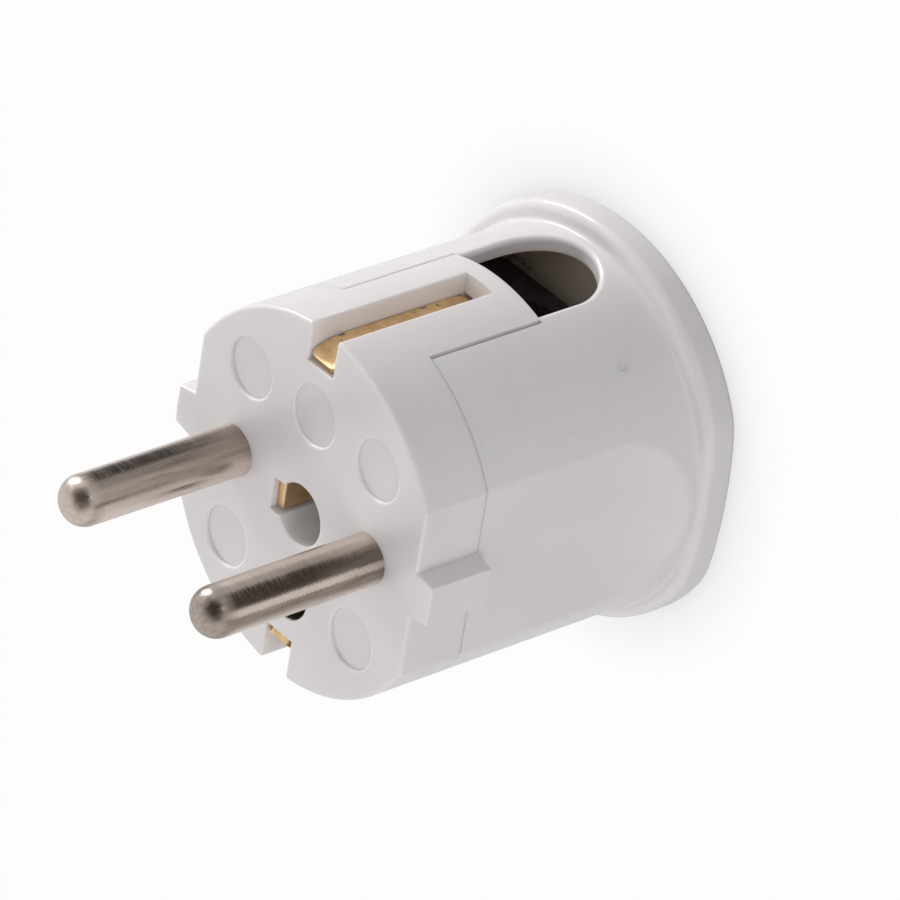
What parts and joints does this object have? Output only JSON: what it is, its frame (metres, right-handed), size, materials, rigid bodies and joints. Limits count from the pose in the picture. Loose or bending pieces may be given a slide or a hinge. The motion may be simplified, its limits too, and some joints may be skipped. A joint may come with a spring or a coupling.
{
  "type": "type f plug",
  "caption": "Rewireable round mains plug with side cord entry, plated contact pins, brass earth contacts in side channels and a flared rear flange.",
  "frame": {"origin": "point on the flat back face of the flange where the body axis meets it", "axes": "+Z along the body axis towards the pin tips, X along the line of the two pins, +Y towards the cord opening"},
  "size_m": [0.0373, 0.0394, 0.0533],
  "materials": {
    "carrier_white": "glossy moulded white",
    "housing_white": "glossy moulded white",
    "pin_plating": "nickel plate with fine scratches",
    "strip_brass": "bare brass, slightly tarnished",
    "sleeve_brass": "bare brass",
    "screw_steel": "zinc plated",
    "clamp_dark": "dark moulded"
  },
  "bodies": {
    "root": {"contact_carrier": "carrier_white", "rear_housing": "housing_white", "live_pin": "pin_plating", "neutral_pin": "pin_plating", "earth_strip": "strip_brass", "earth_sleeve": "sleeve_brass", "live_terminal_screw": "screw_steel", "neutral_terminal_screw": "screw_steel", "earth_terminal_screw": "screw_steel", "earth_clamp_washer": "screw_steel", "housing_screw": "screw_steel", "housing_insert": "sleeve_brass", "cord_clamp_bar": "clamp_dark", "cord_clamp_screws": "screw_steel"}
  },
  "joints": []
}
